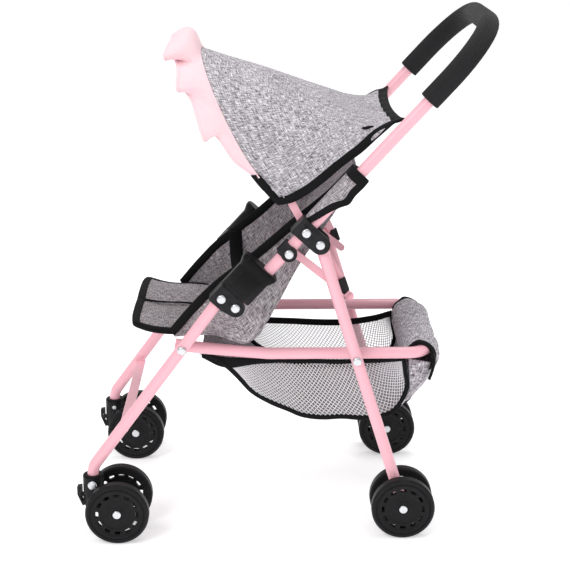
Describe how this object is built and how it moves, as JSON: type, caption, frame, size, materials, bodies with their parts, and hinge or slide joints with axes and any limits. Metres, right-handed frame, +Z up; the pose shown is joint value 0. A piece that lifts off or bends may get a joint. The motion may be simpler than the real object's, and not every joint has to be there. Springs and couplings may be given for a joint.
{
  "type": "doll stroller",
  "caption": "Folding doll stroller with a canopy, sling seat, mesh basket, swivelling front wheels and a foam handle.",
  "frame": {"origin": "On the ground, at the middle of the object's box", "axes": "+Z up, -Y the direction of travel, +X the pusher's left; X is the symmetry axis"},
  "size_m": [0.2866, 0.4454, 0.5526],
  "materials": {
    "pink_paint": "satin light pink powder coat on steel tube",
    "black_plastic": "satin black moulded plastic",
    "wheel_plastic": "charcoal moulded plastic",
    "foam_grip": "black ribbed foam",
    "bright_steel": "bright rivets and pins",
    "grey_fabric": "heather grey woven fabric with black binding",
    "pink_fabric": "pale pink plain fabric",
    "black_webbing": "black webbing and binding",
    "mesh_fabric": "open net"
  },
  "bodies": {
    "chassis": {"front_leg_left": "pink_paint", "front_leg_right": "pink_paint", "front_brace": "pink_paint", "lower_bracket_left": "black_plastic", "lower_bracket_right": "black_plastic", "leg_rivets": "bright_steel", "basket_pins": "bright_steel", "wheel_socket_left": "black_plastic", "wheel_socket_right": "black_plastic", "socket_rivets": "bright_steel"},
    "handle": {"handle_tube": "pink_paint", "handle_grip": "foam_grip", "link_clamp_left": "black_plastic", "link_clamp_right": "black_plastic", "upper_bracket_left": "black_plastic", "upper_bracket_right": "black_plastic", "handle_rivets": "bright_steel", "seat_sling": "grey_fabric", "seat_panel_left": "grey_fabric", "seat_panel_right": "grey_fabric", "leg_rest": "grey_fabric", "seat_loops": "black_webbing", "harness": "black_webbing", "harness_buckle": "black_plastic", "canopy_hood": "grey_fabric"},
    "rear_frame": {"rear_leg_left": "pink_paint", "rear_leg_right": "pink_paint", "guide_bar_left": "pink_paint", "guide_bar_right": "pink_paint", "guide_stop_left": "black_plastic", "guide_stop_right": "black_plastic", "rear_pins": "bright_steel", "rear_axle_left": "bright_steel", "rear_axle_right": "bright_steel"},
    "basket_frame": {"basket_bar": "pink_paint", "bar_hook_left": "bright_steel", "bar_hook_right": "bright_steel", "basket_bag": "mesh_fabric", "basket_wrap": "grey_fabric", "strap_tab": "black_webbing"},
    "sleeve_left": {"lock_sleeve_left": "black_plastic"},
    "sleeve_right": {"lock_sleeve_right": "black_plastic"},
    "link_left": {"link_bar_left": "pink_paint"},
    "link_right": {"link_bar_right": "pink_paint"},
    "caster_left": {"wheel_fork_left": "black_plastic", "fork_clip_left": "black_plastic", "front_axle_left": "bright_steel"},
    "caster_right": {"wheel_fork_right": "black_plastic", "fork_clip_right": "black_plastic", "front_axle_right": "bright_steel"},
    "canopy_frame": {"canopy_bow": "pink_paint", "canopy_frill": "pink_fabric"},
    "front_wheel_left_outer_body": {"front_wheel_left_outer": "wheel_plastic"},
    "front_wheel_left_inner_body": {"front_wheel_left_inner": "wheel_plastic"},
    "front_wheel_right_outer_body": {"front_wheel_right_outer": "wheel_plastic"},
    "front_wheel_right_inner_body": {"front_wheel_right_inner": "wheel_plastic"},
    "rear_wheel_left_outer_body": {"rear_wheel_left_outer": "wheel_plastic"},
    "rear_wheel_left_inner_body": {"rear_wheel_left_inner": "wheel_plastic"},
    "rear_wheel_right_outer_body": {"rear_wheel_right_outer": "wheel_plastic"},
    "rear_wheel_right_inner_body": {"rear_wheel_right_inner": "wheel_plastic"}
  },
  "joints": [
    {"name": "frame_fold", "type": "hinge", "parent": "chassis", "child": "handle", "pos_m": [0, -0.04958, 0.2575], "axis": [-1, 0, 0], "range_deg": [0, 95]},
    {"name": "basket_fold", "type": "hinge", "parent": "chassis", "child": "basket_frame", "pos_m": [0, -0.10628, 0.2102], "axis": [-1, 0, 0], "range_deg": [0, 63.81]},
    {"name": "rear_leg_fold", "type": "hinge", "parent": "handle", "child": "rear_frame", "pos_m": [0, 0.03802, 0.3246], "axis": [1, 0, 0], "range_deg": [0, 54.56]},
    {"name": "canopy_tilt", "type": "hinge", "parent": "handle", "child": "canopy_frame", "pos_m": [0, 0.02373, 0.33722], "axis": [-1, 0, 0], "range_deg": [0, 55], "deforming": ["canopy_hood"]},
    {"name": "sleeve_slide_left", "type": "slide", "parent": "handle", "child": "sleeve_left", "axis": [0, 0.6769, 0.7361], "range_m": [0, 0.016]},
    {"name": "link_lift_left", "type": "hinge", "parent": "handle", "child": "link_left", "pos_m": [0, 0.00598, 0.31496], "axis": [1, 0, 0], "range_deg": [0, 35]},
    {"name": "caster_swivel_left", "type": "hinge", "parent": "chassis", "child": "caster_left", "pos_m": [0.112, -0.20508, 0.047], "axis": [0, 0, 1], "continuous": true},
    {"name": "sleeve_slide_right", "type": "slide", "parent": "handle", "child": "sleeve_right", "axis": [0, 0.6769, 0.7361], "range_m": [0, 0.016]},
    {"name": "link_lift_right", "type": "hinge", "parent": "handle", "child": "link_right", "pos_m": [0, 0.00598, 0.31496], "axis": [1, 0, 0], "range_deg": [0, 35]},
    {"name": "caster_swivel_right", "type": "hinge", "parent": "chassis", "child": "caster_right", "pos_m": [-0.112, -0.20508, 0.047], "axis": [0, 0, 1], "continuous": true},
    {"name": "front_wheel_left_outer_spin", "type": "hinge", "parent": "caster_left", "child": "front_wheel_left_outer_body", "pos_m": [0.112, -0.17798, 0.034], "axis": [1, 0, 0], "continuous": true},
    {"name": "front_wheel_left_inner_spin", "type": "hinge", "parent": "caster_left", "child": "front_wheel_left_inner_body", "pos_m": [0.112, -0.17798, 0.034], "axis": [1, 0, 0], "continuous": true},
    {"name": "front_wheel_right_outer_spin", "type": "hinge", "parent": "caster_right", "child": "front_wheel_right_outer_body", "pos_m": [-0.112, -0.17798, 0.034], "axis": [1, 0, 0], "continuous": true},
    {"name": "front_wheel_right_inner_spin", "type": "hinge", "parent": "caster_right", "child": "front_wheel_right_inner_body", "pos_m": [-0.112, -0.17798, 0.034], "axis": [1, 0, 0], "continuous": true},
    {"name": "rear_wheel_left_outer_spin", "type": "hinge", "parent": "rear_frame", "child": "rear_wheel_left_outer_body", "pos_m": [0.112, 0.12802, 0.034], "axis": [1, 0, 0], "continuous": true},
    {"name": "rear_wheel_left_inner_spin", "type": "hinge", "parent": "rear_frame", "child": "rear_wheel_left_inner_body", "pos_m": [0.112, 0.12802, 0.034], "axis": [1, 0, 0], "continuous": true},
    {"name": "rear_wheel_right_outer_spin", "type": "hinge", "parent": "rear_frame", "child": "rear_wheel_right_outer_body", "pos_m": [-0.112, 0.12802, 0.034], "axis": [1, 0, 0], "continuous": true},
    {"name": "rear_wheel_right_inner_spin", "type": "hinge", "parent": "rear_frame", "child": "rear_wheel_right_inner_body", "pos_m": [-0.112, 0.12802, 0.034], "axis": [1, 0, 0], "continuous": true}
  ],
  "couplings": [
    {"joint": "basket_fold", "follows": "frame_fold", "ratio": 0.6664},
    {"joint": "rear_leg_fold", "follows": "frame_fold", "ratio": 0.5691}
  ]
}
